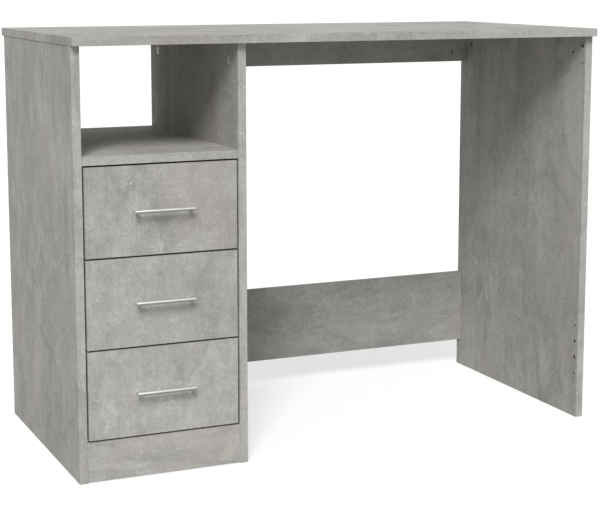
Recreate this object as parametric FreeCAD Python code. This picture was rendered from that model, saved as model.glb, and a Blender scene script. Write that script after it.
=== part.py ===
import FreeCAD, Part
import os

# Writing desk of coated boards: a slab on three upright panels, a pedestal with an open
# compartment over three drawers, a knee space beside it, and two rails at the back.
# Millimetres. +X along the desk, -Y towards the sitter, +Z up, floor at Z = 0.
# The origin is under the middle of the desk's outer box, handles included.

os.makedirs("parts", exist_ok=True)

Vector = FreeCAD.Vector
X_AXIS = Vector(1, 0, 0)
Y_AXIS = Vector(0, 1, 0)
Z_AXIS = Vector(0, 0, 1)

# Overall sizes
desk_width = 1020.0
desk_depth = 500.0
desk_height = 760.0

# Boards
board = 15.0              # every coated board, drawer boxes included
thin_sheet = 3.0          # pedestal back and drawer bottoms; rails and shelf are inset by it
arris = 0.4               # chamfer on every board edge
side_overhang = 1.0       # slab past the outer panels
front_overhang = 14.0     # slab past the panels, front and back alike
bay_width = 279.0         # clear width of the pedestal
floor_gap = 1.5           # pedestal strips stay this far off the floor
strip_height = 69.5       # plinth, pedestal rail and upper back rail
lower_rail_height = 152.5
lower_rail_bottom = 57.5
sheet_play = 0.5          # round the pedestal back

# Drawers
drawer_count = 3
front_height = 154.5
front_gap = 3.0           # all round each inset front
box_height = 110.0
box_lift = 16.0           # box sides above the bottom of their front
box_rear_space = 54.0     # behind the closed box, in front of the pedestal back
groove_lift = 10.0        # bottom sheet above the lower edge of the box sides
groove_depth = 5.0
groove_play = 0.2
drawer_overlap = 100.0    # runner length still engaged when open

# Roller runners, one pair to a drawer
runner_space = 12.5       # between panel and box side
runner_sheet = 1.2
runner_setback = 2.0      # cabinet member behind the back of the drawer front
slip = 0.5                # between members that slide past each other
roller_radius = 9.0
roller_width = 6.8
roller_gap = 0.3          # between a roller and what it runs on
roller_rise = 9.5         # roller axis above the bottom of the box side
roller_inset = 12.0       # roller axis from the end of its member
pin_radius = 2.5
pin_play = 0.06
collar_radius = 4.0
collar_sheet = 0.6
runner_screw_front = 37.0 # first runner screw from the front end
runner_screw_rear = 43.0  # last one from the back end, with a third midway

# Fittings
grid = 32.0               # the drilling pitch
cam_radius = 7.5          # of the bore
cam_play = 0.1
cam_past_axis = 5.0       # bore depth beyond the bolt axis
cam_setback = 32.0        # cam centre to the joint
cam_from_edge = 43.0      # cams and their bolts from the panels' front and back edges
cam_slot = (1.6, 9.0, 1.5)   # width, length and depth of the cross in a cam
fitting_play = 0.05
bolt_thread_radius = 2.5
bolt_collar_radius = 3.5
bolt_collar_length = 3.0
bolt_neck_radius = 2.0
bolt_head_radius = 3.0
bolt_head_length = 4.0
bolt_bore_radius = 4.0
blind_depth = 11.0        # bolts and dowels in a board's face
hole_spare = 0.5          # a blind hole is this much deeper than what it holds
dowel_radius = 4.0
dowel_length = 30.0
strip_bolt_rise = 20.0    # bolt axis above the lower edge of a pedestal strip
rail_bolt_rise = 19.0     # bolt axis above the lower edge of the upper rail
lower_rail_hole_rise = 29.0   # lowest bolt axis above the lower edge of the lower rail

# Screws: shank radius, shank length, head radius, head height
runner_screw = (1.6, 11.0, 3.2, 0.4)
flange_screw = (1.6, 12.0, 3.0, 1.0)
box_screw = (1.75, 40.0, 3.5, 0.6)
bottom_nail = (0.8, 18.0, 2.0, 0.8)
back_nail = (0.8, 18.0, 2.0, 0.8)
handle_screw_head = (4.0, 2.2)
handle_screw_radius = 2.0
handle_screw_grip = 8.0   # thread inside a handle post

# Handles
handle_length = 106.0
handle_spacing = 96.0     # between the posts
handle_rod_radius = 3.5
handle_post_radius = 3.0
handle_standoff = 16.0    # rod axis in front of the drawer front

# Places that follow from the sizes
handle_proud = handle_standoff + handle_rod_radius - front_overhang
slab_front = -desk_depth / 2 + handle_proud / 2
slab_back = slab_front + desk_depth
panel_front = slab_front + front_overhang
panel_back = slab_back - front_overhang
panel_top = desk_height - board
left_outer = -desk_width / 2 + side_overhang
left_inner = left_outer + board
middle_left = left_inner + bay_width
middle_right = middle_left + board
right_outer = desk_width / 2 - side_overhang
right_inner = right_outer - board
bay_centre = (left_inner + middle_left) / 2
box_outer = bay_width / 2 - runner_space    # half widths of the drawer box
box_inner = box_outer - board
strip_top = floor_gap + strip_height
front_pitch = front_height + front_gap
shelf_bottom = strip_top + front_gap + drawer_count * front_pitch
shelf_top = shelf_bottom + board
rail_back = panel_back - thin_sheet
front_rear = panel_front + board
runner_length = rail_back - front_rear - box_rear_space
box_back = front_rear + runner_length
drawer_travel = runner_length - drawer_overlap
cam_bore_depth = board / 2 + cam_past_axis
web_near = runner_space - runner_sheet            # drawer member's web, towards the panel
roller_near = (runner_sheet + web_near - roller_width) / 2
roller_far = roller_near + roller_width
cabinet_runner_front = front_rear + runner_setback
front_roller_y = cabinet_runner_front + roller_inset
rear_roller_y = box_back - roller_inset
last_screw = runner_length - runner_screw_rear
runner_screw_rows = (runner_screw_front, (runner_screw_front + last_screw) / 2, last_screw)


def block(low, high):
    size = [high[i] - low[i] for i in range(3)]
    return Part.makeBox(size[0], size[1], size[2], Vector(*low))


def board_block(low, high):
    # a coated board with a small chamfer on its twelve edges
    plain = block(low, high)
    return plain.makeChamfer(arris, plain.Edges)


def rod(start, direction, radius, length):
    return Part.makeCylinder(radius, length, start, direction)


def write(node, solids):
    shape = solids[0] if len(solids) == 1 else Part.makeCompound(solids)
    shape.exportStep("parts/" + node + ".step")


def drill(solid, cutters):
    # only the cutters that reach into the solid's own box are used
    near = [tool for tool in cutters if tool.BoundBox.intersect(solid.BoundBox)]
    if near:
        solid = solid.cut(near)
    return solid.Solids[0]


# ---- Fittings: each gives its own solid and the holes that the boards need for it

def cam_lock(face_point, inward, toward_joint):
    # a round die-cast lock with a cross in its face and a channel for the bolt's head
    body = rod(face_point + inward * cam_play, inward, cam_radius - cam_play,
               cam_bore_depth - 2 * cam_play)
    body = body.makeChamfer(arris, [body.Edges[0], body.Edges[2]])
    across = inward.cross(toward_joint)
    width, length, depth = cam_slot
    for along, beside in ((toward_joint, across), (across, toward_joint)):
        corner = face_point - along * (length / 2) - beside * (width / 2)
        reach = along * length + beside * width + inward * (depth + cam_play)
        body = body.cut(box_between(corner, corner + reach))
    room = bolt_head_radius + cam_play
    axis_point = face_point + inward * (board / 2)
    corner = axis_point - inward * room - across * room - toward_joint * bolt_head_length
    reach = inward * (2 * room) + across * (2 * room)
    reach = reach + toward_joint * (bolt_head_length + cam_radius)
    return body.cut(box_between(corner, corner + reach)).Solids[0]


def box_between(first, second):
    low = [min(first[i], second[i]) for i in range(3)]
    high = [max(first[i], second[i]) for i in range(3)]
    return block(low, high)


def cam_bolt(joint_point, toward_joint):
    # threaded into the far board, with a collar at the joint and a head inside the cam
    back = toward_joint * -1
    thread = rod(joint_point, toward_joint, bolt_thread_radius, blind_depth)
    collar = rod(joint_point, back, bolt_collar_radius, bolt_collar_length)
    neck = rod(joint_point, back, bolt_neck_radius, cam_setback)
    head_start = joint_point + back * (cam_setback - bolt_head_length / 2)
    head = rod(head_start, back, bolt_head_radius - fitting_play, bolt_head_length)
    return thread.fuse([collar, neck, head]).removeSplitter().Solids[0]


def cam_joint(face_point, inward, toward_joint):
    joint_point = face_point + inward * (board / 2) + toward_joint * cam_setback
    lock = cam_lock(face_point, inward, toward_joint)
    bolt = cam_bolt(joint_point, toward_joint)
    cutters = [
        rod(face_point, inward, cam_radius, cam_bore_depth),
        rod(joint_point, toward_joint * -1, bolt_bore_radius, cam_setback),
        rod(joint_point, toward_joint, bolt_thread_radius + fitting_play,
            blind_depth + hole_spare),
    ]
    return lock, bolt, cutters


def dowel_joint(joint_point, into_face):
    # the short end goes into a board's face, the long end into the other board's edge
    start = joint_point + into_face * blind_depth
    pin = rod(start, into_face * -1, dowel_radius, dowel_length)
    pin = pin.makeChamfer(arris, [pin.Edges[0], pin.Edges[2]])
    hole = rod(start + into_face * hole_spare, into_face * -1, dowel_radius + fitting_play,
               dowel_length + 2 * hole_spare)
    return pin.Solids[0], hole


def screw(seat, direction, sizes):
    shank_radius, length, head_radius, head_height = sizes
    shank = rod(seat, direction, shank_radius, length)
    head = rod(seat, direction * -1, head_radius, head_height)
    hole = rod(seat, direction, shank_radius + fitting_play, length + hole_spare)
    return shank.fuse(head).removeSplitter().Solids[0], hole


class Fittings:
    # collects the locks, bolts, pins and screws of one body, and every hole they need
    def __init__(self):
        self.locks = []
        self.bolts = []
        self.dowels = []
        self.holes = []

    def add_cam(self, face_point, inward, toward_joint):
        lock, bolt, cutters = cam_joint(face_point, inward, toward_joint)
        self.locks.append(lock)
        self.bolts.append(bolt)
        self.holes.extend(cutters)

    def add_dowel(self, joint_point, into_face):
        pin, hole = dowel_joint(joint_point, into_face)
        self.dowels.append(pin)
        self.holes.append(hole)

    def add_screws(self, seats, direction, sizes):
        made = []
        for seat in seats:
            solid, hole = screw(seat, direction, sizes)
            made.append(solid)
            self.holes.append(hole)
        return made


def slab_fittings(fittings):
    # cams in the inner faces of the three panels pull the slab down onto them
    for face_x, side in ((left_inner, -1), (middle_left, 1), (right_inner, 1)):
        for end, inner in ((panel_front, 1), (panel_back, -1)):
            cam_y = end + inner * cam_from_edge
            face_point = Vector(face_x, cam_y, panel_top - cam_setback)
            fittings.add_cam(face_point, X_AXIS * side, Z_AXIS)
            pin_y = cam_y + inner * 2 * grid
            fittings.add_dowel(Vector(face_x + side * board / 2, pin_y, panel_top), Z_AXIS)


def shelf_fittings(fittings):
    # cams in the underside of the shelf
    middle_z = shelf_bottom + board / 2
    for face_x, side in ((left_inner, -1), (middle_left, 1)):
        for end, inner in ((panel_front, 1), (panel_back, -1)):
            cam_y = end + inner * cam_from_edge
            face_point = Vector(face_x - side * cam_setback, cam_y, shelf_bottom)
            fittings.add_cam(face_point, Z_AXIS, X_AXIS * side)
            fittings.add_dowel(Vector(face_x, cam_y + inner * 2 * grid, middle_z), X_AXIS * side)


def strip_fittings(fittings):
    # plinth in front and pedestal rail at the back, cams on their hidden faces
    cam_z = floor_gap + strip_bolt_rise
    for face_y, inward in ((front_rear, -1), (rail_back - board, 1)):
        for face_x, side in ((left_inner, -1), (middle_left, 1)):
            face_point = Vector(face_x - side * cam_setback, face_y, cam_z)
            fittings.add_cam(face_point, Y_AXIS * inward, X_AXIS * side)
            pin_y = face_y + inward * board / 2
            fittings.add_dowel(Vector(face_x, pin_y, cam_z + grid), X_AXIS * side)


def rail_hole_heights():
    # bolt and dowel heights of the two back rails, all on the drilling pitch
    upper_bolt = panel_top - strip_height + rail_bolt_rise
    lowest = lower_rail_bottom + lower_rail_hole_rise
    bolts = [(upper_bolt, True), (lowest, False), (lowest + 3 * grid, False)]
    dowels = [upper_bolt + grid, lowest + grid, lowest + 2 * grid]
    return bolts, dowels


def rail_fittings(fittings):
    # the upper rail shows its cams to the front, the lower rail hides them behind
    bolts, dowels = rail_hole_heights()
    for face_x, side in ((middle_right, -1), (right_inner, 1)):
        for height, in_front in bolts:
            face_y = rail_back - board if in_front else rail_back
            inward = Y_AXIS if in_front else Y_AXIS * -1
            face_point = Vector(face_x - side * cam_setback, face_y, height)
            fittings.add_cam(face_point, inward, X_AXIS * side)
        for height in dowels:
            fittings.add_dowel(Vector(face_x, rail_back - board / 2, height), X_AXIS * side)


def spare_holes():
    # the rails can go at either edge, so the front edge has the same holes, left empty
    bolts, dowels = rail_hole_heights()
    row_y = panel_front + thin_sheet + board / 2
    depth = blind_depth + hole_spare
    holes = []
    for face_x, side in ((middle_right, -1), (right_inner, 1)):
        for height, _ in bolts:
            holes.append(rod(Vector(face_x, row_y, height), X_AXIS * side,
                             bolt_thread_radius, depth))
        for height in dowels:
            holes.append(rod(Vector(face_x, row_y, height), X_AXIS * side,
                             dowel_radius, depth))
    return holes


# ---- Carcass

def pedestal_back():
    return block((left_inner + sheet_play, rail_back, floor_gap),
                 (middle_left - sheet_play, rail_back + thin_sheet, shelf_top))


def back_nail_seats():
    spots = []
    for height in (floor_gap + strip_height / 2, shelf_bottom + board / 2):
        for share in (-1, 0, 1):
            x = bay_centre + share * (bay_width / 2 - grid)
            spots.append(Vector(x, rail_back + thin_sheet, height))
    return spots


def carcass_boards():
    # each board as its low corner and its high corner
    rail_front = rail_back - board
    return {
        "desk_top": ((-desk_width / 2, slab_front, panel_top),
                     (desk_width / 2, slab_back, desk_height)),
        "left_side_panel": ((left_outer, panel_front, 0), (left_inner, panel_back, panel_top)),
        "middle_panel": ((middle_left, panel_front, 0), (middle_right, panel_back, panel_top)),
        "right_side_panel": ((right_inner, panel_front, 0),
                             (right_outer, panel_back, panel_top)),
        "compartment_shelf": ((left_inner, panel_front, shelf_bottom),
                              (middle_left, rail_back, shelf_top)),
        "plinth": ((left_inner, panel_front, floor_gap), (middle_left, front_rear, strip_top)),
        "pedestal_rail": ((left_inner, rail_front, floor_gap),
                          (middle_left, rail_back, strip_top)),
        "upper_back_rail": ((middle_right, rail_front, panel_top - strip_height),
                            (right_inner, rail_back, panel_top)),
        "lower_back_rail": ((middle_right, rail_front, lower_rail_bottom),
                            (right_inner, rail_back, lower_rail_bottom + lower_rail_height)),
    }


# ---- Runners: distances "out" are measured from the panel towards the drawer box

def bay_side(side):
    # inner face of the panel on that side of the bay, and the direction towards the box
    face_x = left_inner if side < 0 else middle_left
    return face_x, -side


def bay_block(side, out_from, out_to, y_from, y_to, z_from, z_to):
    face_x, out = bay_side(side)
    xs = sorted((face_x + out * out_from, face_x + out * out_to))
    return block((xs[0], y_from, z_from), (xs[1], y_to, z_to))


def bay_rod(side, out_from, out_to, y, z, radius):
    face_x, out = bay_side(side)
    return rod(Vector(face_x + out * out_from, y, z), X_AXIS * out, radius, out_to - out_from)


def cabinet_runner(side, box_z):
    # C-shaped steel channel on the panel, with the front roller's pin riveted into it
    axis_z = box_z + roller_rise
    track = axis_z - roller_radius - roller_gap
    roof = axis_z + roller_radius + roller_gap + runner_sheet + slip
    reach = web_near - slip
    start, end = cabinet_runner_front, box_back
    web = bay_block(side, 0, runner_sheet, start, end, track - runner_sheet, roof + runner_sheet)
    lower = bay_block(side, 0, reach, start, end, track - runner_sheet, track)
    upper = bay_block(side, 0, reach, start, end, roof, roof + runner_sheet)
    pieces = [lower, upper]
    pieces.append(bay_rod(side, runner_sheet, roller_near - roller_gap, front_roller_y, axis_z,
                          collar_radius))
    pieces.append(bay_rod(side, runner_sheet, roller_far + roller_gap, front_roller_y, axis_z,
                          pin_radius))
    pieces.append(bay_rod(side, roller_far + roller_gap, roller_far + roller_gap + collar_sheet,
                          front_roller_y, axis_z, collar_radius))
    return web.fuse(pieces).removeSplitter()


def drawer_runner(side, box_z):
    # angle under and beside the box, with a flange that rides on the front roller
    axis_z = box_z + roller_rise
    ride = axis_z + roller_radius + roller_gap
    start, end = front_rear + slip, box_back
    web = bay_block(side, web_near, runner_space, start, end, box_z - runner_sheet,
                    ride + runner_sheet)
    under = bay_block(side, web_near, runner_space + board, start, end, box_z - runner_sheet,
                      box_z)
    flange = bay_block(side, runner_sheet + slip, runner_space, start, end, ride,
                       ride + runner_sheet)
    pieces = [under, flange]
    pieces.append(bay_rod(side, roller_far + roller_gap, web_near, rear_roller_y, axis_z,
                          collar_radius))
    pieces.append(bay_rod(side, roller_near - roller_gap, web_near, rear_roller_y, axis_z,
                          pin_radius))
    pieces.append(bay_rod(side, roller_near - roller_gap - collar_sheet,
                          roller_near - roller_gap, rear_roller_y, axis_z, collar_radius))
    return web.fuse(pieces).removeSplitter()


def roller(side, y, axis_z):
    wheel = bay_rod(side, roller_near, roller_far, y, axis_z, roller_radius)
    wheel = wheel.makeChamfer(arris, [wheel.Edges[0], wheel.Edges[2]])
    bore = bay_rod(side, roller_near, roller_far, y, axis_z, pin_radius + pin_play)
    return wheel.cut(bore).Solids[0]


# ---- Drawers

def drawer_front_board(front_z):
    half = bay_width / 2 - front_gap
    return board_block((bay_centre - half, panel_front, front_z),
                       (bay_centre + half, front_rear, front_z + front_height))


def handle(front_z):
    # a straight round rod on two round posts, level with the middle of the front
    axis_z = front_z + front_height / 2
    axis_y = panel_front - handle_standoff
    bar = rod(Vector(bay_centre - handle_length / 2, axis_y, axis_z), X_AXIS,
              handle_rod_radius, handle_length)
    bar = bar.makeChamfer(arris, [bar.Edges[0], bar.Edges[2]])
    posts = []
    seats = []
    for share in (-1, 1):
        foot = Vector(bay_centre + share * handle_spacing / 2, panel_front, axis_z)
        posts.append(rod(foot, Y_AXIS * -1, handle_post_radius, handle_standoff))
        seats.append(foot + Y_AXIS * board)
    return bar.fuse(posts).removeSplitter(), seats


def drawer_fixings(box_z, groove_z, handle_seats):
    # cams pull the sides onto the front; screws hold handle, back, runners and bottom
    fittings = Fittings()
    head_radius, head_height = handle_screw_head
    handle_screw = (handle_screw_radius, board + handle_screw_grip, head_radius, head_height)
    screws = fittings.add_screws(handle_seats, Y_AXIS * -1, handle_screw)
    for share in (-1, 1):
        outer_x = bay_centre + share * box_outer
        for rise in (grid + board / 2, 2 * grid + board):
            face_point = Vector(outer_x, front_rear + cam_setback, box_z + rise)
            fittings.add_cam(face_point, X_AXIS * -share, Y_AXIS * -1)
            seat = Vector(outer_x, box_back - board / 2, box_z + rise)
            screws += fittings.add_screws([seat], X_AXIS * -share, box_screw)
        under = [Vector(outer_x - share * board / 2, front_rear + along, box_z - runner_sheet)
                 for along in runner_screw_rows]
        screws += fittings.add_screws(under, Z_AXIS, flange_screw)
    nail_seats = [Vector(bay_centre + share * (box_inner - grid), box_back - board / 2, groove_z)
                  for share in (-1, 0, 1)]
    screws += fittings.add_screws(nail_seats, Z_AXIS, bottom_nail)
    return fittings, screws


def drawer_groove(groove_z):
    # one tool for the grooves in the front and both sides
    return block((bay_centre - box_inner - groove_depth, front_rear - groove_depth, groove_z),
                 (bay_centre + box_inner + groove_depth, box_back + board,
                  groove_z + thin_sheet + groove_play))


def drawer_side(share, box_z):
    xs = sorted((bay_centre + share * box_outer, bay_centre + share * box_inner))
    return board_block((xs[0], front_rear, box_z), (xs[1], box_back, box_z + box_height))


def drawer_back(box_z, groove_z):
    # stands on the bottom sheet, between the sides
    return board_block((bay_centre - box_inner, box_back - board, groove_z + thin_sheet),
                       (bay_centre + box_inner, box_back, box_z + box_height))


def drawer_bottom(groove_z):
    reach = box_inner + groove_depth - groove_play
    return block((bay_centre - reach, front_rear - groove_depth + groove_play, groove_z),
                 (bay_centre + reach, box_back, groove_z + thin_sheet))


def drawer(index):
    name = "drawer_" + str(index + 1)
    front_z = strip_top + front_gap + index * front_pitch
    box_z = front_z + box_lift
    groove_z = box_z + groove_lift
    axis_z = box_z + roller_rise
    handle_shape, handle_seats = handle(front_z)
    fittings, screws = drawer_fixings(box_z, groove_z, handle_seats)
    grooved = fittings.holes + [drawer_groove(groove_z)]
    write(name + "_front", [drill(drawer_front_board(front_z), grooved)])
    for share, word in ((-1, "left"), (1, "right")):
        write(name + "_" + word + "_side", [drill(drawer_side(share, box_z), grooved)])
        write(name + "_runner_" + word, [drill(drawer_runner(share, box_z), fittings.holes)])
    write(name + "_back", [drill(drawer_back(box_z, groove_z), fittings.holes)])
    write(name + "_bottom", [drill(drawer_bottom(groove_z), fittings.holes)])
    write(name + "_handle", [drill(handle_shape, fittings.holes)])
    write(name + "_cam_fittings", fittings.locks + fittings.bolts)
    write(name + "_screws", screws)
    write(name + "_rear_rollers", [roller(side, rear_roller_y, axis_z) for side in (-1, 1)])
    write(name + "_front_rollers", [roller(side, front_roller_y, axis_z) for side in (-1, 1)])
    return box_z


def cabinet_runners(box_heights, fittings):
    # one channel a side for each drawer, held by screws through its web
    shapes = {}
    screws = []
    for index, box_z in enumerate(box_heights):
        for side, word in ((-1, "left"), (1, "right")):
            face_x, out = bay_side(side)
            seats = [Vector(face_x + out * runner_sheet, cabinet_runner_front + along,
                            box_z + roller_rise) for along in runner_screw_rows]
            screws += fittings.add_screws(seats, X_AXIS * -out, runner_screw)
            shapes["cabinet_runner_" + str(index + 1) + "_" + word] = cabinet_runner(side, box_z)
    return shapes, screws


def carcass(box_heights):
    fittings = Fittings()
    slab_fittings(fittings)
    shelf_fittings(fittings)
    strip_fittings(fittings)
    rail_fittings(fittings)
    runner_shapes, screws = cabinet_runners(box_heights, fittings)
    nails = fittings.add_screws(back_nail_seats(), Y_AXIS * -1, back_nail)
    cutters = fittings.holes + spare_holes()
    for node, (low, high) in carcass_boards().items():
        write(node, [drill(board_block(low, high), cutters)])
    write("pedestal_back", [drill(pedestal_back(), fittings.holes)])
    for node, shape in runner_shapes.items():
        write(node, [drill(shape, fittings.holes)])
    write("cam_locks", fittings.locks)
    write("cam_bolts", fittings.bolts)
    write("wood_dowels", fittings.dowels)
    write("runner_screws", screws)
    write("back_nails", nails)


drawer_box_heights = [drawer(index) for index in range(drawer_count)]
carcass(drawer_box_heights)
print("runner length", runner_length, "drawer travel", drawer_travel)
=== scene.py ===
import math
import bpy
import numpy as np
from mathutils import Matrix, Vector


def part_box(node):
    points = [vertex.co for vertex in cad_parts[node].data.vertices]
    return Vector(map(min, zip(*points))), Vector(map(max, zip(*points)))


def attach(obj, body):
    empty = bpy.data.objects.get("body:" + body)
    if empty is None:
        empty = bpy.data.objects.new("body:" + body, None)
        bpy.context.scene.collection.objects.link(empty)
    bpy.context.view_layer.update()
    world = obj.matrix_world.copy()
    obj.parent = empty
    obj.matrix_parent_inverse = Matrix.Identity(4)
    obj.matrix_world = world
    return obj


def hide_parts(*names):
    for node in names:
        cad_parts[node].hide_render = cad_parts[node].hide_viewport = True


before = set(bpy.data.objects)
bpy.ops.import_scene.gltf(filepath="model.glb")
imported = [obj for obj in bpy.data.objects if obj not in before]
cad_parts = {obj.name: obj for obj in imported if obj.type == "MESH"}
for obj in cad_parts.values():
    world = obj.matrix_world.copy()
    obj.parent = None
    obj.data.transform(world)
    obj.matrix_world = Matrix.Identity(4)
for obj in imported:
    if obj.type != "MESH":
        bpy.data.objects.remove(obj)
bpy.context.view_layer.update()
mm = 0.001
drawerNumbers = (1, 2, 3)


# small helpers

def toLinear(hexColour, alpha=1.0):
    # an sRGB hex colour as the linear values that a shader takes
    parts = np.array([int(hexColour[i:i + 2], 16) for i in (1, 3, 5)]) / 255.0
    linear = np.where(parts <= 0.04045, parts / 12.92, ((parts + 0.055) / 1.055) ** 2.4)
    return (*linear.tolist(), alpha)


def addNode(tree, kind, inputs=None, **settings):
    # one shader node: settings are its own options, inputs are values or sockets to link
    node = tree.nodes.new(kind)
    for name, value in settings.items():
        setattr(node, name, value)
    for name, value in (inputs or {}).items():
        if isinstance(value, bpy.types.NodeSocket):
            tree.links.new(value, node.inputs[name])
        else:
            node.inputs[name].default_value = value
    return node


def newMaterial(name):
    material = bpy.data.materials.new(name)
    material.use_nodes = True
    material.node_tree.nodes.clear()
    return material, material.node_tree


def finishMaterial(tree, shader):
    addNode(tree, "ShaderNodeOutputMaterial", {"Surface": shader.outputs["BSDF"]})


def objectPlace(tree):
    # metres from the desk's origin, which keep with the piece when it moves
    return addNode(tree, "ShaderNodeTexCoord").outputs["Object"]


def between(tree, value, low, high, toLow=0.0, toHigh=1.0):
    # one range of values turned into another, and held at its ends
    made = addNode(tree, "ShaderNodeMapRange", {
        "Value": value, "From Min": low, "From Max": high, "To Min": toLow, "To Max": toHigh})
    return made.outputs["Result"]


def combine(tree, operation, first, second, third=None):
    sockets = {0: first, 1: second}
    if third is not None:
        sockets[2] = third
    return addNode(tree, "ShaderNodeMath", sockets, operation=operation).outputs[0]


def combineVectors(tree, operation, first, second):
    return addNode(tree, "ShaderNodeVectorMath", {0: first, 1: second},
                   operation=operation).outputs[0]


def scaled(tree, vector, amount):
    return addNode(tree, "ShaderNodeVectorMath", {0: vector, "Scale": amount},
                   operation="SCALE").outputs[0]


def mixed(tree, share, first, second):
    # the second colour over the first, by a share of 0 to 1
    made = addNode(tree, "ShaderNodeMix", {"Factor": share, "A": first, "B": second},
                   data_type="RGBA")
    return made.outputs["Result"]


def scaleFor(size):
    # pattern repeats per metre for a feature of that many millimetres
    return 1.0 / (size * mm)


def noise(tree, vector, size, detail=3.0, rough=0.5, distortion=0.0):
    return addNode(tree, "ShaderNodeTexNoise", {
        "Vector": vector, "Scale": scaleFor(size), "Detail": detail, "Roughness": rough,
        "Distortion": distortion})


def dress(node, material):
    # gives a carried-over part its finish in place of the plain one
    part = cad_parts[node]
    part.data.materials.clear()
    part.data.materials.append(material)


# camera

cameraPlace = {
    "position": (-1.181, -2.6815, 0.8607),   # metres
    "turn": -23.85,                          # degrees, towards the desk's right end
    "tilt": -8.56,
    "lens": 91.86,
    "shiftY": -0.08,
}


def makeCamera():
    data = bpy.data.cameras.new("camera")
    data.lens = cameraPlace["lens"]
    data.sensor_width = 36.0
    data.shift_y = cameraPlace["shiftY"]
    data.clip_start = 0.05
    data.clip_end = 200.0
    camera = bpy.data.objects.new("camera", data)
    camera.location = cameraPlace["position"]
    camera.rotation_euler = (math.radians(90 + cameraPlace["tilt"]), 0,
                             math.radians(cameraPlace["turn"]))
    bpy.context.scene.collection.objects.link(camera)
    bpy.context.scene.camera = camera


makeCamera()


# light and floor: two wide soft lights from the front left, a weak even surround, a pale floor

studio = {
    # each light: degrees left of the front, degrees up, how wide it looks in degrees, strength
    "key": (31.0, 36.0, 14.0, 1.24),
    "overhead": (24.0, 50.0, 18.0, 1.34),
    "surround": 0.44,
    "reflected": 0.80,             # the surround as glossy surfaces mirror it
    "floorColour": "#BCBCBC",      # as it lights the desk: a mid grey, so little comes from below
    "floorMirrored": "#868686",    # as glossy surfaces mirror it
    "floorSeen": "#B4B4B3",        # as it is seen, with its shadows lifted by a glow
    "floorLift": 0.61,
    "floorSize": 160.0,
    "floorGap": 0.3,               # mm, just clear of the panels' feet
}


def makeLight(name, turn, height, width, strength):
    # a far-off round soft box, so every part of the desk gets the same light
    light = bpy.data.lights.new(name, "SUN")
    light.angle = math.radians(width)
    light.energy = strength
    lamp = bpy.data.objects.new(name, light)
    turn, height = math.radians(turn), math.radians(height)
    direction = Vector((-math.sin(turn) * math.cos(height), -math.cos(turn) * math.cos(height),
                        math.sin(height)))
    lamp.rotation_euler = direction.to_track_quat("Z", "Y").to_euler()
    lamp.location = direction * 4
    bpy.context.scene.collection.objects.link(lamp)


def byRay(tree, lit, mirrored, seen):
    # a shader as it lights the desk, as glossy surfaces mirror it, and as the camera sees it
    path = addNode(tree, "ShaderNodeLightPath")
    unseen = addNode(tree, "ShaderNodeMixShader", {0: path.outputs["Is Glossy Ray"],
                                                   1: lit.outputs[0], 2: mirrored.outputs[0]})
    mix = addNode(tree, "ShaderNodeMixShader", {0: path.outputs["Is Camera Ray"],
                                                1: unseen.outputs[0], 2: seen.outputs[0]})
    return mix.outputs[0]


def makeSurround():
    # seen as white, though it lights the desk more weakly than it looks
    world = bpy.data.worlds.new("studio")
    bpy.context.scene.world = world
    world.use_nodes = True
    tree = world.node_tree
    tree.nodes.clear()
    strengths = (studio["surround"], studio["reflected"], 1.0)
    shades = [addNode(tree, "ShaderNodeBackground",
                      {"Color": toLinear("#FFFFFF"), "Strength": strength})
              for strength in strengths]
    addNode(tree, "ShaderNodeOutputWorld", {"Surface": byRay(tree, *shades)})


def makeFloor():
    material, tree = newMaterial("paleStudioFloor")
    lit, mirrored, seen = [addNode(tree, "ShaderNodeBsdfDiffuse", {"Color": toLinear(studio[name])})
                           for name in ("floorColour", "floorMirrored", "floorSeen")]
    lift = addNode(tree, "ShaderNodeEmission", {"Color": toLinear("#FFFFFF"),
                                                "Strength": studio["floorLift"]})
    seen = addNode(tree, "ShaderNodeAddShader", {0: seen.outputs[0], 1: lift.outputs[0]})
    addNode(tree, "ShaderNodeOutputMaterial", {"Surface": byRay(tree, lit, mirrored, seen)})
    half = studio["floorSize"] / 2
    mesh = bpy.data.meshes.new("floor")
    under = -studio["floorGap"] * mm
    mesh.from_pydata([(-half, -half, under), (half, -half, under), (half, half, under),
                      (-half, half, under)], [], [(0, 1, 2, 3)])
    mesh.materials.append(material)
    floor = bpy.data.objects.new("floor", mesh)
    bpy.context.scene.collection.objects.link(floor)


makeLight("keySoftBox", *studio["key"])
makeLight("overheadSoftBox", *studio["overhead"])
makeSurround()
makeFloor()
bpy.context.scene.view_settings.view_transform = "Standard"
print("camera, light and floor ready")


# concrete-look melamine: a printed paper under clear matt resin, pressed on particleboard.
# To the eye it is dull and flat: cloudy grey with warm and cool patches, faint trowel
# strokes along the board, dried stains, small pale flakes, and a few hairline cracks.

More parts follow.
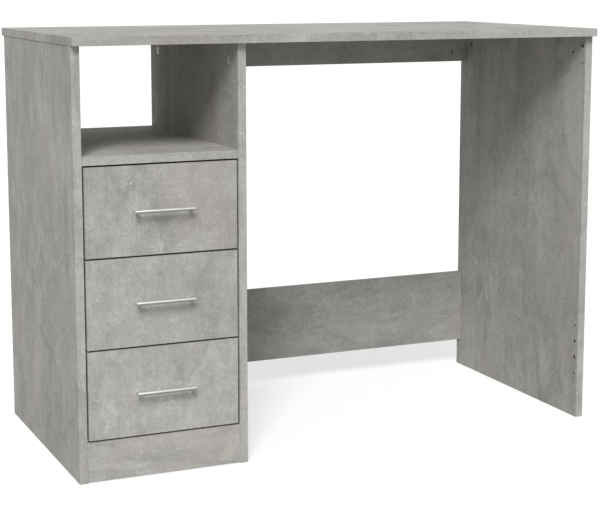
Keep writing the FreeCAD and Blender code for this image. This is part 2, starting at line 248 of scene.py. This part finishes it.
printLook = {
    "dark": "#9A9994",
    "middle": "#AEADA7",
    "light": "#C0BFB9",
    "warm": "#B5ABA6",
    "cool": "#A5A8A4",
    "flake": "#DCDCD6",
    "crack": "#CBCAC4",
    # each pattern: size in mm, then how far it shifts the shade
    "cloud": (130.0, 0.34),
    "patch": (38.0, 0.24),
    "mottle": (12.0, 0.19),
    "speck": (4.4, 0.24),
    "grit": (1.6, 0.14),     # drawn coarser than the real 0.3 mm grit, so that it shows
    "stroke": (2.6, 0.12),
    "wideStroke": (15.0, 0.11),
    "thread": (1.8, 0.08),   # fine cross lines, also drawn coarser than they are
    "strokeLength": 80.0,
    "toneSize": 150.0,
    "warmShare": 0.42,
    "coolShare": 0.28,
    "stainSize": 230.0,
    "stainRange": (0.500, 0.510, 0.590),   # of the noise: edge, where it is darkest, gone
    "stainShade": 0.30,
    "flakeSize": 4.6,
    "flakeRange": (0.60, 0.67),
    "flakeField": 60.0,
    "flakeFieldRange": (0.44, 0.60),
    "flakeShare": 0.65,
    "crackSize": 330.0,
    "crackWidth": 0.004,     # a share of that size
    "crackBend": 90.0,
    "crackSway": (0.10, 0.10, 0.05),       # metres, how far the bends push a crack
    "crackField": 120.0,
    "crackRange": (0.50, 0.60),
    "crackShare": 0.55,
}


def makePrintGroup():
    # takes metres with the board's grain along Z, and gives the print's colour and its relief
    tree = bpy.data.node_groups.new("concretePrint", "ShaderNodeTree")
    tree.interface.new_socket("Place", in_out="INPUT", socket_type="NodeSocketVector")
    tree.interface.new_socket("Colour", in_out="OUTPUT", socket_type="NodeSocketColor")
    tree.interface.new_socket("Relief", in_out="OUTPUT", socket_type="NodeSocketFloat")
    place = addNode(tree, "NodeGroupInput").outputs["Place"]

    def stretched(across, along):
        return combineVectors(tree, "MULTIPLY", place, (across, across, along))

    look = printLook
    softLong = stretched(1.0, 0.45)
    # each layer: where it is read, its detail and its distortion
    layers = {
        "cloud": (softLong, 4.0, 0.4),
        "patch": (stretched(1.0, 0.7), 2.0, 0.6),
        "mottle": (stretched(1.0, 0.85), 2.0, 0.8),
        "speck": (place, 2.0, 0.5),
        "grit": (place, 1.0, 0.0),
        "stroke": (stretched(1.0, look["stroke"][0] / look["strokeLength"]), 2.0, 0.0),
        "wideStroke": (stretched(1.0, 0.12), 3.0, 0.0),
        "thread": (stretched(4 * look["thread"][0] / look["strokeLength"], 1.0), 1.0, 0.0),
    }
    shade = 0.5
    found = {}
    for name, (vector, detail, distortion) in layers.items():
        size, amount = look[name]
        found[name] = noise(tree, vector, size, detail, 0.6, distortion).outputs["Fac"]
        shade = combine(tree, "ADD", between(tree, found[name], 0.25, 0.75, -amount, amount),
                        shade)

    # dried stains: each has one crisp edge, and fades away behind it
    stain = noise(tree, softLong, look["stainSize"], 4.0, 0.55, 1.0).outputs["Fac"]
    edge, crisp, faded = look["stainRange"]
    stains = combine(tree, "MULTIPLY", between(tree, stain, edge, crisp),
                     between(tree, stain, crisp, faded, 1.0, 0.0))
    shade = combine(tree, "SUBTRACT", shade,
                    combine(tree, "MULTIPLY", stains, look["stainShade"]))
    ramp = addNode(tree, "ShaderNodeValToRGB", {"Fac": shade})
    stops = ramp.color_ramp.elements
    stops[0].position = 0.0
    stops[0].color = toLinear(look["dark"])
    stops[1].position = 1.0
    stops[1].color = toLinear(look["light"])
    middle = stops.new(0.5)
    middle.color = toLinear(look["middle"])

    tone = noise(tree, stretched(1.0, 0.5), look["toneSize"], 3.0, 0.55, 0.5).outputs["Fac"]
    warmth = between(tree, tone, 0.50, 0.72, 0.0, look["warmShare"])
    coolness = between(tree, tone, 0.50, 0.30, 0.0, look["coolShare"])
    colour = mixed(tree, warmth, ramp.outputs["Color"], toLinear(look["warm"]))
    colour = mixed(tree, coolness, colour, toLinear(look["cool"]))

    flakeField = noise(tree, place, look["flakeField"], 2.0).outputs["Fac"]
    flakeGrain = noise(tree, place, look["flakeSize"], 3.0, 0.65, 1.2).outputs["Fac"]
    flakes = combine(tree, "MULTIPLY", between(tree, flakeField, *look["flakeFieldRange"]),
                     between(tree, flakeGrain, *look["flakeRange"]))
    flakeShare = combine(tree, "MULTIPLY", flakes, look["flakeShare"])
    colour = mixed(tree, flakeShare, colour, toLinear(look["flake"]))

    # cracks run where large bent cells meet, in some places only
    bend = noise(tree, softLong, look["crackBend"], 4.0, 0.6).outputs["Color"]
    bent = combineVectors(tree, "MULTIPLY", bend, look["crackSway"])
    cells = addNode(tree, "ShaderNodeTexVoronoi", {
        "Vector": combineVectors(tree, "ADD", softLong, bent),
        "Scale": scaleFor(look["crackSize"])}, feature="DISTANCE_TO_EDGE")
    line = between(tree, cells.outputs["Distance"], 0.0, look["crackWidth"], 1.0, 0.0)
    crackField = noise(tree, place, look["crackField"], 2.0).outputs["Fac"]
    cracks = combine(tree, "MULTIPLY", line, between(tree, crackField, *look["crackRange"]))
    crackShare = combine(tree, "MULTIPLY", cracks, look["crackShare"])
    colour = mixed(tree, crackShare, colour, toLinear(look["crack"]))

    relief = combine(tree, "ADD", between(tree, found["stroke"], 0.2, 0.8, 0.0, 0.5),
                     between(tree, found["grit"], 0.2, 0.8, 0.0, 0.3))
    relief = combine(tree, "ADD", relief, combine(tree, "MULTIPLY", flakes, 0.4))
    addNode(tree, "NodeGroupOutput", {"Colour": colour, "Relief": relief})
    return tree


printGroup = makePrintGroup()

boardLook = {
    "core": "#8E7A5E",        # raw chipboard, seen only in drilled holes
    "coreDark": "#57493A",
    "chip": 2.2,              # mm, size of the chips
    "seamAt": 0.45,           # mm, edge band thickness: the glue line lies that far from an edge
    "seamWidth": 0.30,
    "seamShare": 0.25,
    "seam": "#5A5954",
    "roughness": 0.66,
    "specular": 0.2,
    "bump": 0.05,             # mm of relief
    "bumpStrength": 0.6,
    "coreDepth": 0.7,         # mm below the faces, where the print ends
}

grainTurns = {"X": (0.0, math.radians(90), 0.0), "Y": (math.radians(90), 0.0, 0.0),
              "Z": (0.0, 0.0, 0.0)}


def boardMaterial(name, node, grain, cut, shade=1.0, printJoin=None):
    # cut is where on the endless print this board was sawn from, in metres; printJoin is the
    # place along Y of a join between two sheets of print: dark behind it, fading backwards
    low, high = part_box(node)
    centre = (low + high) / 2
    half = (high - low) / 2
    look = boardLook
    material, tree = newMaterial(name)
    place = objectPlace(tree)
    onPrint = addNode(tree, "ShaderNodeMapping", {"Vector": place, "Location": cut,
                                                  "Rotation": grainTurns[grain]}).outputs[0]
    decor = addNode(tree, "ShaderNodeGroup", node_tree=printGroup)
    tree.links.new(onPrint, decor.inputs["Place"])
    colour = decor.outputs["Colour"]
    # painted shade: the whole board's colour darkened by that factor
    if shade != 1.0:
        colour = scaled(tree, colour, shade)
    if printJoin is not None:
        blur = printJoins["blur"] * mm
        fadeEnd = printJoin + printJoins["fade"] * mm
        along = addNode(tree, "ShaderNodeSeparateXYZ", {"Vector": place}).outputs["Y"]
        behind = between(tree, along, printJoin - blur, printJoin + blur, 1.0,
                         printJoins["shade"])
        fade = between(tree, along, printJoin, fadeEnd, 1.0,
                       printJoins["farShade"] / printJoins["shade"])
        colour = scaled(tree, colour, combine(tree, "MULTIPLY", behind, fade))

    # how deep each point lies below the board's three pairs of faces
    fromCentre = combineVectors(tree, "SUBTRACT", place, centre)
    apart = addNode(tree, "ShaderNodeVectorMath", {0: fromCentre},
                    operation="ABSOLUTE").outputs[0]
    depth = combineVectors(tree, "SUBTRACT", half, apart)
    depths = addNode(tree, "ShaderNodeSeparateXYZ", {"Vector": depth}).outputs
    least = combine(tree, "MINIMUM", depths[0], depths[1])
    least = combine(tree, "MINIMUM", least, depths[2])
    inside = combine(tree, "GREATER_THAN", least, look["coreDepth"] * mm)

    # the glue line shows on the broad faces, beside each banded edge
    thin = min(range(3), key=lambda axis: half[axis])
    wide = [axis for axis in range(3) if axis != thin]
    edgeDepth = combine(tree, "MINIMUM", depths[wide[0]], depths[wide[1]])
    seam = combine(tree, "COMPARE", edgeDepth, look["seamAt"] * mm, look["seamWidth"] * mm)
    seam = combine(tree, "MULTIPLY", seam, look["seamShare"])
    colour = mixed(tree, seam, colour, toLinear(look["seam"]))

    chips = addNode(tree, "ShaderNodeTexVoronoi", {"Vector": place,
                                                   "Scale": scaleFor(look["chip"])})
    chipShade = addNode(tree, "ShaderNodeSeparateColor",
                        {"Color": chips.outputs["Color"]}).outputs[0]
    raw = mixed(tree, chipShade, toLinear(look["coreDark"]), toLinear(look["core"]))
    colour = mixed(tree, inside, colour, raw)

    bump = addNode(tree, "ShaderNodeBump", {"Height": decor.outputs["Relief"],
                                            "Distance": look["bump"] * mm,
                                            "Strength": look["bumpStrength"]})
    shader = addNode(tree, "ShaderNodeBsdfPrincipled", {
        "Base Color": colour, "Roughness": look["roughness"], "IOR": 1.5,
        "Specular IOR Level": look["specular"], "Normal": bump.outputs["Normal"]})
    finishMaterial(tree, shader)
    return material


# each board: the direction of its grain, where its print was cut, and a factor on its colour that
# is painted shade: it darkens the slab top a little and the lower back rail more, standing in for
# shade the lamps don't give them
boards = {
    "desk_top": ("X", (0.0, 0.0, 0.0), 0.98),
    "left_side_panel": ("Z", (3.1, 0.4, 0.2), 1.0),
    "middle_panel": ("Z", (5.3, 1.9, 0.7), 1.0),
    "right_side_panel": ("Z", (7.7, 2.6, 1.3), 1.0),
    "compartment_shelf": ("X", (2.2, 5.1, 0.9), 1.0),
    "plinth": ("X", (4.4, 3.3, 2.1), 1.0),
    "pedestal_rail": ("X", (6.1, 0.8, 3.7), 1.0),
    "upper_back_rail": ("X", (1.7, 6.4, 2.9), 1.0),
    "lower_back_rail": ("X", (8.2, 4.9, 0.3), 0.86),
}

# metres along the print from one drawer to the next, and from one of its parts to the next
drawerCuts = {"perDrawer": (1.3, 2.7, 0.6), "perPart": (0.9, 0.0, 0.31)}

# where the middle panel's print was joined: darker behind the join, then paler again
printJoins = {
    "fromBack": 112.0,       # mm
    "blur": 0.4,
    "fade": 85.0,
    "shade": 0.76,
    "farShade": 1.05,
}


def dressBoards():
    for node, (grain, cut, shade) in boards.items():
        join = None
        if node == "middle_panel":
            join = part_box(node)[1].y - printJoins["fromBack"] * mm
        dress(node, boardMaterial("concreteMelamine_" + node, node, grain, cut, shade, join))
    for number in drawerNumbers:
        for index, part in enumerate(("front", "left_side", "right_side", "back")):
            node = "drawer_%d_%s" % (number, part)
            grain = "Z" if part == "front" else "X"
            if part.endswith("side"):
                grain = "Y"
            cut = tuple(number * perDrawer + index * perPart for perDrawer, perPart
                        in zip(drawerCuts["perDrawer"], drawerCuts["perPart"]))
            dress(node, boardMaterial("concreteMelamine_" + node, node, grain, cut))


dressBoards()
print("boards dressed in concrete-look melamine")


# hardboard: pressed wood fibre, one face sprayed grey. Dull and even, with fine fibres.

hardboardLook = {"face": "#A9A8A3", "fibre": "#8C8A84", "fibreSize": 1.2, "patchSize": 60.0,
                 "roughness": 0.75, "bump": 0.04}


def hardboardMaterial():
    look = hardboardLook
    material, tree = newMaterial("sprayedHardboard")
    place = objectPlace(tree)
    fibre = noise(tree, place, look["fibreSize"], 4.0, 0.7, 1.5).outputs["Fac"]
    patch = noise(tree, place, look["patchSize"], 3.0).outputs["Fac"]
    colour = mixed(tree, combine(tree, "MULTIPLY", fibre, patch), toLinear(look["face"]),
                   toLinear(look["fibre"]))
    bump = addNode(tree, "ShaderNodeBump", {"Height": fibre, "Distance": look["bump"] * mm})
    shader = addNode(tree, "ShaderNodeBsdfPrincipled", {
        "Base Color": colour, "Roughness": look["roughness"],
        "Normal": bump.outputs["Normal"]})
    finishMaterial(tree, shader)
    return material


# metals and plastic of the fittings

metals = {
    # drawn aluminium with a satin finish: a soft bright streak along the rod
    "satinAluminium": {"colour": "#F0F0EF", "roughness": 0.36, "grain": 0.35, "drawn": True,
                       "variation": 0.05, "bump": 0.0015, "recessShadeReach": None},
    # pressure-cast zinc, nickel plated: grainy and a little dull
    "castZinc": {"colour": "#F2F2F0", "roughness": 0.34, "grain": 0.6, "drawn": False,
                 "variation": 0.12, "bump": 0.006, "recessShadeReach": 4.0},
    # zinc-plated steel: bright bluish grey with soft patches
    "zincSteel": {"colour": "#B4B7BC", "roughness": 0.36, "grain": 0.8, "drawn": False,
                  "variation": 0.12, "bump": 0.004, "recessShadeReach": None},
}


drawnStretch = (0.03, 1.0, 1.0)   # the grain of a drawn rod runs along X

# painted shade in deep recesses: the colour is darkened towards a near black where the occlusion
# node finds the surface closed in; openness is where that painted shade starts and stops
paintedRecessShade = {"dark": "#262625", "openness": (0.30, 0.65), "samples": 8}


def metalMaterial(name):
    look = metals[name]
    material, tree = newMaterial(name)
    place = objectPlace(tree)
    if look["drawn"]:
        place = combineVectors(tree, "MULTIPLY", place, drawnStretch)
    grain = noise(tree, place, look["grain"], 3.0, 0.6).outputs["Fac"]
    dull = between(tree, grain, 0.3, 0.7, look["roughness"] - look["variation"],
                   look["roughness"] + look["variation"])
    bump = addNode(tree, "ShaderNodeBump", {"Height": grain, "Distance": look["bump"] * mm})
    colour = toLinear(look["colour"])
    # painted shade: inside a recess the base colour goes dark, though the zinc there is the same
    if look["recessShadeReach"]:
        openness = addNode(tree, "ShaderNodeAmbientOcclusion", {
            "Distance": look["recessShadeReach"] * mm}, samples=paintedRecessShade["samples"]).outputs["AO"]
        bright = between(tree, openness, *paintedRecessShade["openness"])
        colour = mixed(tree, bright, toLinear(paintedRecessShade["dark"]), colour)
    shader = addNode(tree, "ShaderNodeBsdfPrincipled", {
        "Base Color": colour, "Metallic": 1.0, "Roughness": dull,
        "Normal": bump.outputs["Normal"]})
    finishMaterial(tree, shader)
    return material


coatings = {
    # polyester powder baked on rolled steel: white, half gloss, with a fine orange peel
    "powderCoat": {"colour": "#E4E4E1", "roughness": 0.34, "grain": 1.1, "bump": 0.03,
                   "patch": "#D6D6D2"},
    # moulded nylon: off-white and waxy
    "mouldedNylon": {"colour": "#E0DFD8", "roughness": 0.45, "grain": 0.6, "bump": 0.01,
                     "patch": "#D2D0C6"},
    # turned beech, hidden in the joints
    "beechDowel": {"colour": "#C79F6C", "roughness": 0.65, "grain": 0.8, "bump": 0.05,
                   "patch": "#A97F4D"},
}


coatPatchSize = 40.0


def coatMaterial(name):
    look = coatings[name]
    material, tree = newMaterial(name)
    place = objectPlace(tree)
    grain = noise(tree, place, look["grain"], 2.0).outputs["Fac"]
    patch = noise(tree, place, coatPatchSize, 3.0).outputs["Fac"]
    colour = mixed(tree, patch, toLinear(look["colour"]), toLinear(look["patch"]))
    bump = addNode(tree, "ShaderNodeBump", {"Height": grain, "Distance": look["bump"] * mm})
    shader = addNode(tree, "ShaderNodeBsdfPrincipled", {
        "Base Color": colour, "Roughness": look["roughness"],
        "Normal": bump.outputs["Normal"]})
    finishMaterial(tree, shader)
    return material


finishes = {name: metalMaterial(name) for name in metals}
finishes.update({name: coatMaterial(name) for name in coatings})
finishes["sprayedHardboard"] = hardboardMaterial()


def dressFittings():
    plain = {
        "pedestal_back": ("sprayedHardboard", "hardboard"),
        "cam_bolts": ("zincSteel", "fitting_steel"),
        "runner_screws": ("zincSteel", "fitting_steel"),
        "back_nails": ("zincSteel", "fitting_steel"),
        "wood_dowels": ("beechDowel", "dowel_beech"),
    }
    for number in drawerNumbers:
        drawer = "drawer_%d_" % number
        plain[drawer + "bottom"] = ("sprayedHardboard", "hardboard")
        plain[drawer + "screws"] = ("zincSteel", "fitting_steel")
        plain[drawer + "front_rollers"] = ("mouldedNylon", "roller_plastic")
        plain[drawer + "rear_rollers"] = ("mouldedNylon", "roller_plastic")
        plain[drawer + "handle"] = ("satinAluminium", "handle_aluminium")
        plain[drawer + "cam_fittings"] = ("castZinc", "cam_zinc")
        for side in ("left", "right"):
            plain[drawer + "runner_" + side] = ("powderCoat", "runner_steel")
            plain["cabinet_runner_%d_%s" % (number, side)] = ("powderCoat", "runner_steel")
    plain["cam_locks"] = ("castZinc", "cam_zinc")
    for node, (finish, slot) in plain.items():
        dress(node, finishes[finish])


dressFittings()
print("fittings dressed")


# new pieces: closed surfaces worked out as grids

def closedGrid(rings, firstPole, lastPole):
    # rings is an array of rings by points by 3, each ring going round the same way; every
    # ring is joined to the next, and each end is closed with a fan to its pole
    count, around = rings.shape[:2]
    points = np.concatenate([rings.reshape(-1, 3), [firstPole, lastPole]])
    row = np.arange(count - 1)[:, None] * around
    here = np.arange(around)[None, :]
    after = (here + 1) % around
    quads = np.stack([row + here, row + after, row + around + after, row + around + here],
                     axis=-1).reshape(-1, 4)
    here, after = here[0], after[0]
    first = np.stack([np.full(around, count * around), after, here], axis=-1)
    last = (count - 1) * around
    second = np.stack([np.full(around, count * around + 1), last + here, last + after], axis=-1)
    return points, quads.tolist() + first.tolist() + second.tolist()


def turned(profile, origin, axis, around=40):
    # a turned form: point = origin + axis * distance + radius * (side * cos a + up * sin a),
    # for a profile of rows (distance, radius) in mm whose ends have radius 0
    axis = np.array(axis, float)
    side = np.cross(axis, (0.0, 0.0, 1.0) if abs(axis[2]) < 0.9 else (1.0, 0.0, 0.0))
    side /= np.linalg.norm(side)
    up = np.cross(axis, side)
    profile = np.array(profile, float) * mm
    origin = np.array(origin, float) * mm
    angle = np.linspace(0, 2 * np.pi, around, endpoint=False)
    spoke = np.cos(angle)[:, None] * side + np.sin(angle)[:, None] * up
    middle = origin + profile[1:-1, 0][:, None] * axis
    rings = middle[:, None, :] + profile[1:-1, 1][:, None, None] * spoke[None, :, :]
    return closedGrid(rings, origin + profile[0, 0] * axis, origin + profile[-1, 0] * axis)


def rounded(corners, radius, steps=4):
    # the same profile with its middle corners rounded: each becomes a quadratic arc from one
    # side to the other, starting that radius from the corner
    corners = np.array(corners, float)
    share = np.linspace(0, 1, steps + 1)[:, None]
    before, here, after = corners[:-2], corners[1:-1], corners[2:]
    back = before - here
    ahead = after - here
    backLength = np.linalg.norm(back, axis=1, keepdims=True)
    aheadLength = np.linalg.norm(ahead, axis=1, keepdims=True)
    start = here + back / backLength * np.minimum(radius, backLength * 0.49)
    end = here + ahead / aheadLength * np.minimum(radius, aheadLength * 0.49)
    arcs = ((1 - share) ** 2)[None] * start[:, None] + (share ** 2)[None] * end[:, None]
    arcs = arcs + (2 * share * (1 - share))[None] * here[:, None]
    return np.concatenate([corners[:1], arcs.reshape(-1, 2), corners[-1:]])


def makePiece(name, forms, material, body, replaced, sharp=35.0):
    # several closed forms become one mesh, smooth except across its sharp edges
    points, faces, start = [], [], 0
    for formPoints, formFaces in forms:
        points.append(formPoints)
        faces.extend([tuple(index + start for index in face) for face in formFaces])
        start += len(formPoints)
    mesh = bpy.data.meshes.new(name)
    mesh.from_pydata(np.concatenate(points).tolist(), [], faces)
    mesh.polygons.foreach_set("use_smooth", [True] * len(mesh.polygons))
    mesh.set_sharp_from_angle(angle=math.radians(sharp))
    mesh.materials.append(material)
    mesh.update()
    piece = bpy.data.objects.new(name, mesh)
    bpy.context.scene.collection.objects.link(piece)
    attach(piece, body)
    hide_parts(replaced)
    return piece


# bar handles: a drawn aluminium rod on two turned posts

barHandle = {
    "rodRadius": 3.5,        # mm, all sizes
    "length": 106.0,
    "endRound": 0.6,
    "standOff": 16.0,        # rod axis to the drawer's front
    "postRadius": 3.0,
    "postSpacing": 96.0,
    "footRadius": 3.6,
    "footHeight": 1.2,
    "footSlope": 0.8,
    "footRound": 0.3,
}


def makeHandle(number):
    look = barHandle
    low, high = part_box("drawer_%d_handle" % number)
    middle = (low + high) / 2 / mm
    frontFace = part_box("drawer_%d_front" % number)[0].y / mm
    axisY = frontFace - look["standOff"]
    half = look["length"] / 2
    radius = look["rodRadius"]
    barProfile = rounded([(-half, 0), (-half, radius), (half, radius), (half, 0)],
                         look["endRound"])
    forms = [turned(barProfile, (middle.x, axisY, middle.z), (1, 0, 0), 48)]
    reach = look["standOff"]
    post, foot = look["postRadius"], look["footRadius"]
    postProfile = rounded([(0, 0), (0, foot), (look["footHeight"], foot),
                           (look["footHeight"] + look["footSlope"], post), (reach, post),
                           (reach, 0)], look["footRound"])
    for side in (-1, 1):
        start = (middle.x + side * look["postSpacing"] / 2, frontFace, middle.z)
        forms.append(turned(postProfile, start, (0, -1, 0), 36))
    makePiece("drawer_%d_bar_handle" % number, forms, finishes["satinAluminium"],
              "drawer_%d" % number, "drawer_%d_handle" % number)


for number in drawerNumbers:
    makeHandle(number)
print("bar handles made")


# cam locks: round die-cast zinc locks, a cross recess in the middle of each face

camLock = {
    "radius": 7.4,           # mm, all sizes but barrelEnd
    "depth": 12.3,
    "sunk": 0.1,
    "rimWidth": 1.1,
    "rimRound": 0.35,
    "dish": 0.45,            # how far the face lies below its rim
    "crossLength": 7.8,
    "crossWidth": 2.1,
    "coreRadius": 2.7,
    "crossDepth": 4.6,
    "slope": 0.35,           # width of the steps between those levels
    "rimSlope": 0.4,         # the same inside the rim, and where the pointer starts
    "pointer": 0.25,         # depth of the notch in the rim that points at the bolt
    "pointerFrom": 4.2,
    "pointerHalf": 0.55,
    "pointerSlope": 0.3,
    "neckDepth": 2.0,        # where the barrel starts, below the rim
    "barrelRound": 0.5,
    "barrelEnd": 0.93,       # the far end's radius as a share of the radius
    "rings": 44,
    "around": 72,
}

camBolt = {
    "neck": 2.0,             # mm, radii first
    "collar": 3.5,
    "thread": 2.5,
    "head": 2.9,
    "headHalf": 2.0,
    "collarLength": 3.0,
    "threadLength": 11.0,
    "round": 0.4,
}

# where the fittings sit, in mm
camPlaces = {
    "setback": 32.0,         # cam centre to the joint
    "fromEdge": 43.0,        # from the panels' front and back edges
    "plinthRise": 20.0,      # above the board's lower edge, here and below
    "upperRailRise": 19.0,
    "lowerRailRises": (29.0, 125.0),
    "drawerRises": (39.5, 79.0),
    "drawerBoardHalf": 7.5,
}


def step(value, width):
    # 0 below zero, 1 above, and smooth over that width
    share = np.clip(value / width + 0.5, 0, 1)
    return share * share * (3 - 2 * share)


def camForm(face, inward, toward):
    # the face is a height over a disc: distance below the board = sunk + rim round + dish
    # + recess + pointer notch, where the recess is a cross with a round core
    look = camLock
    face = np.array(face, float)
    inward = np.array(inward, float)
    toward = np.array(toward, float)
    across = np.cross(inward, toward)
    radius = look["radius"]
    rings = np.linspace(0.0, radius, look["rings"] + 1)[1:, None]
    angle = np.linspace(0, 2 * np.pi, look["around"], endpoint=False)[None, :]
    along, beside = rings * np.cos(angle), rings * np.sin(angle)
    longHalf, wideHalf = look["crossLength"] / 2, look["crossWidth"] / 2
    armOne = np.maximum(np.abs(along) - longHalf, np.abs(beside) - wideHalf)
    armTwo = np.maximum(np.abs(along) - wideHalf, np.abs(beside) - longHalf)
    outside = np.minimum(np.minimum(armOne, armTwo), rings - look["coreRadius"])
    recess = look["crossDepth"] * step(-outside, look["slope"])
    dish = look["dish"] * step(radius - look["rimWidth"] - rings, look["rimSlope"])
    rimRound = look["rimRound"]
    rim = rimRound * np.clip((rings - radius + rimRound) / rimRound, 0, 1) ** 2
    onPointer = (step(look["pointerHalf"] - np.abs(beside), look["pointerSlope"])
                 * step(along - look["pointerFrom"], look["rimSlope"]))
    drop = look["sunk"] + rim + dish + recess + look["pointer"] * onPointer
    top = (face + along[..., None] * toward + beside[..., None] * across
           + drop[..., None] * inward)
    # the barrel: the outer ring again, flattened and moved down in three steps
    outer = top[-1]
    flat = (outer - face) - ((outer - face) @ inward)[:, None] * inward
    levels = np.array([look["neckDepth"], look["depth"] - look["barrelRound"], look["depth"]])
    shrink = np.array([1.0, 1.0, look["barrelEnd"]])
    barrel = face + flat[None] * shrink[:, None, None] + levels[:, None, None] * inward
    grid = np.concatenate([top, barrel]) * mm
    firstPole = (face + (look["crossDepth"] + look["dish"] + look["sunk"]) * inward) * mm
    lastPole = (face + look["depth"] * inward) * mm
    return closedGrid(grid, firstPole, lastPole)


def boltForm(joint, toward):
    # a round head inside the cam, neck, collar at the joint, and thread in the far board
    look = camBolt
    neck, collar, thread, head = look["neck"], look["collar"], look["thread"], look["head"]
    headStart = -camPlaces["setback"] - look["headHalf"]
    headEnd = -camPlaces["setback"] + look["headHalf"]
    profile = [(headStart, 0), (headStart, head), (headEnd, head), (headEnd, neck),
               (-look["collarLength"], neck), (-look["collarLength"], collar), (0, collar),
               (0, thread), (look["threadLength"], thread), (look["threadLength"], 0)]
    return turned(rounded(profile, look["round"], 2), joint, toward, 24)


def carcassCams():
    # (face point, direction into the board, direction to the joint) of all twenty, in mm
    topBoard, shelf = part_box("desk_top"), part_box("compartment_shelf")
    left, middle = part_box("left_side_panel"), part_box("middle_panel")
    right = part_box("right_side_panel")
    plinth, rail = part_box("plinth"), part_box("pedestal_rail")
    upper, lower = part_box("upper_back_rail"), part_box("lower_back_rail")
    setback, edge = camPlaces["setback"], camPlaces["fromEdge"]
    found = []
    # under the slab, in the panels' inner faces
    for panel, side in ((left, 1), (middle, -1), (right, -1)):
        faceX = (panel[1].x if side > 0 else panel[0].x) / mm
        for y in (panel[0].y / mm + edge, panel[1].y / mm - edge):
            found.append(((faceX, y, topBoard[0].z / mm - setback), (-side, 0, 0), (0, 0, 1)))
    # in the underside of the shelf, and behind the plinth and the rail across from it
    for end, side in ((left[1].x / mm, 1), (middle[0].x / mm, -1)):
        x = end + side * setback
        for y in (left[0].y / mm + edge, left[1].y / mm - edge):
            found.append(((x, y, shelf[0].z / mm), (0, 0, 1), (-side, 0, 0)))
        low = plinth[0].z / mm + camPlaces["plinthRise"]
        found.append(((x, plinth[1].y / mm, low), (0, -1, 0), (-side, 0, 0)))
        found.append(((x, rail[0].y / mm, low), (0, 1, 0), (-side, 0, 0)))
    # in front of the upper rail and behind the lower one
    for end, side in ((middle[1].x / mm, 1), (right[0].x / mm, -1)):
        x = end + side * setback
        high = upper[0].z / mm + camPlaces["upperRailRise"]
        found.append(((x, upper[0].y / mm, high), (0, 1, 0), (-side, 0, 0)))
        for rise in camPlaces["lowerRailRises"]:
            found.append(((x, lower[1].y / mm, lower[0].z / mm + rise), (0, -1, 0),
                          (-side, 0, 0)))
    return found


def drawerCams(number):
    # each side's two cams, and the bolts that run from them into the front
    forms = []
    for part, side in (("left_side", -1), ("right_side", 1)):
        low, high = [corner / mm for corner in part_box("drawer_%d_%s" % (number, part))]
        faceX = low.x if side < 0 else high.x
        jointY = low.y
        for rise in camPlaces["drawerRises"]:
            z = low.z + rise
            forms.append(camForm((faceX, jointY + camPlaces["setback"], z), (-side, 0, 0),
                                 (0, -1, 0)))
            forms.append(boltForm((faceX - side * camPlaces["drawerBoardHalf"], jointY, z),
                                  (0, -1, 0)))
    return forms


makePiece("carcass_cam_locks", [camForm(*place) for place in carcassCams()],
          finishes["castZinc"], "desk", "cam_locks")
for number in drawerNumbers:
    makePiece("drawer_%d_cams_and_bolts" % number, drawerCams(number), finishes["castZinc"],
              "drawer_%d" % number, "drawer_%d_cam_fittings" % number)
print("cam locks made")
